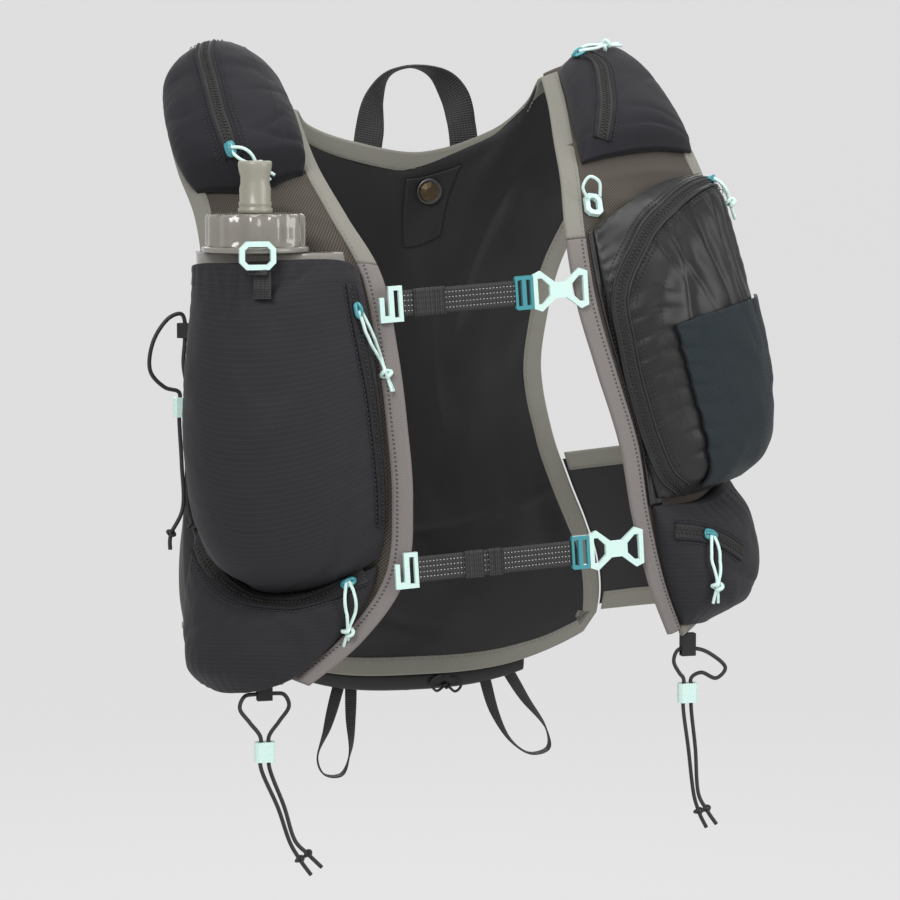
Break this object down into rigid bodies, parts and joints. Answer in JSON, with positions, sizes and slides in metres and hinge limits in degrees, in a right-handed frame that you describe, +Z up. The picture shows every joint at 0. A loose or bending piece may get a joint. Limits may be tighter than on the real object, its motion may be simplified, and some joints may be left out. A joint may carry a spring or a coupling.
{
  "type": "running hydration vest",
  "caption": "Running vest with stuffed front pockets, a soft flask, a rear pack, buckled chest straps and hanging cinch cords.",
  "frame": {"origin": "midway between the two shoulders, at the height where the straps rest", "axes": "+Z up, the wearer faces -Y, +X at the wearer's left"},
  "size_m": [0.3842, 0.2829, 0.496],
  "materials": {
    "navy_cloth": "matt ripstop nylon",
    "black_cloth": "smooth thin nylon",
    "strap_mesh": "twill spacer mesh",
    "stretch_mesh": "fine stretch mesh",
    "olive_tape": "matt folded edge tape",
    "rail_tape": "matt tape with a stitched line",
    "black_webbing": "ribbed webbing",
    "mint_plastic": "satin moulded",
    "teal_plastic": "satin moulded",
    "mint_cord": "fine braided cord",
    "black_cord": "braided elastic cord",
    "zip_tape": "coil zip on woven tape",
    "flask_film": "soft translucent film",
    "flask_collar": "smoky translucent moulding",
    "brass": "pressed snap"
  },
  "bodies": {
    "root": {"neck_binding": "olive_tape", "back_binding": "olive_tape", "armhole_binding_left": "olive_tape", "armhole_binding_right": "olive_tape", "hem_binding_left": "olive_tape", "hem_binding_right": "olive_tape", "rail_left": "rail_tape", "rail_right": "rail_tape", "front_panel_left": "strap_mesh", "front_panel_right": "strap_mesh", "wing_left": "black_cloth", "wing_right": "black_cloth", "back_panel": "black_cloth", "main_pocket": "black_cloth", "rear_pack": "black_cloth", "shoulder_pocket_left": "navy_cloth", "shoulder_pocket_right": "navy_cloth", "bottle_pocket": "navy_cloth", "lower_pocket_left": "navy_cloth", "lower_pocket_right": "navy_cloth", "mesh_pocket": "stretch_mesh", "flask_body": "flask_film", "flask_nozzle": "flask_film", "flask_collar": "flask_collar", "haul_loop": "black_webbing", "pole_loop_left": "black_webbing", "pole_loop_right": "black_webbing", "sternum_strap_upper": "black_webbing", "sternum_strap_lower": "black_webbing", "tab_low_left": "black_webbing", "tab_low_right": "black_webbing", "tab_side_left": "black_webbing", "g_hook_upper": "mint_plastic", "g_hook_lower": "mint_plastic", "cross_plate_upper": "mint_plastic", "cross_plate_lower": "mint_plastic", "cord_lock_low_left": "mint_plastic", "cord_lock_low_right": "mint_plastic", "cord_lock_side_left": "mint_plastic", "bottle_hook": "mint_plastic", "strap_clip": "mint_plastic", "buckle_frame_upper": "teal_plastic", "buckle_frame_lower": "teal_plastic", "zip_shoulder_left": "zip_tape", "zip_bottle_left": "zip_tape", "zip_lower_left": "zip_tape", "zip_shoulder_right": "zip_tape", "zip_main": "zip_tape", "zip_lower_right": "zip_tape", "pull_shoulder_left": "mint_cord", "pull_bottle_left": "mint_cord", "pull_lower_left": "mint_cord", "pull_shoulder_right": "mint_cord", "pull_main": "mint_cord", "pull_lower_right": "mint_cord", "cinch_cord_low_left": "black_cord", "cinch_cord_low_right": "black_cord", "cinch_cord_side_left": "black_cord", "snap": "brass"}
  },
  "joints": []
}
